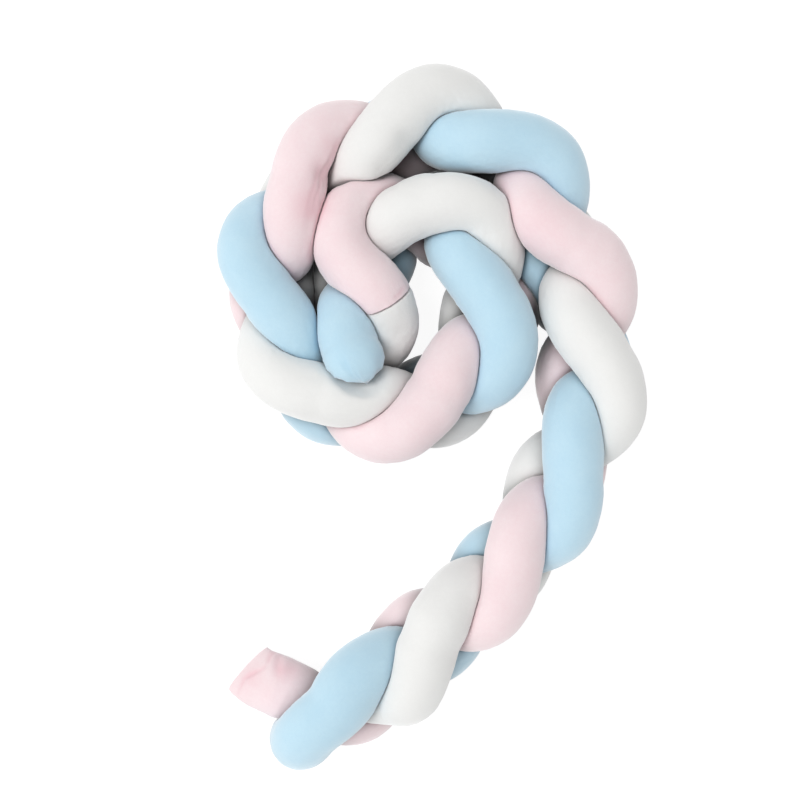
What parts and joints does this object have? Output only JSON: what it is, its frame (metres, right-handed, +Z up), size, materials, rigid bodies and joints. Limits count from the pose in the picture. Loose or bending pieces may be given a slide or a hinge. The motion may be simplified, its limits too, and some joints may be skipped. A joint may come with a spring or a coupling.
{
  "type": "crib bumper",
  "caption": "Plaited crib bumper of long stuffed velour tubes in pale pink, white and pale blue, laid down as a loose coil with a tail.",
  "frame": {"origin": "middle of the outline's box in plan, on the surface that the bumper lies on", "axes": "+Z up from the surface; +Y along the longest side, from the tail's free ends towards the coil; +X across, to the right with +Y ahead"},
  "size_m": [0.6864, 1.1419, 0.2243],
  "materials": {
    "velour_pink": "soft matte short-pile velour, pale pink",
    "velour_white": "soft matte short-pile velour, white",
    "velour_blue": "soft matte short-pile velour, pale blue"
  },
  "bodies": {
    "root": {"tube_pink": "velour_pink", "tube_white": "velour_white", "tube_blue": "velour_blue"}
  },
  "joints": []
}
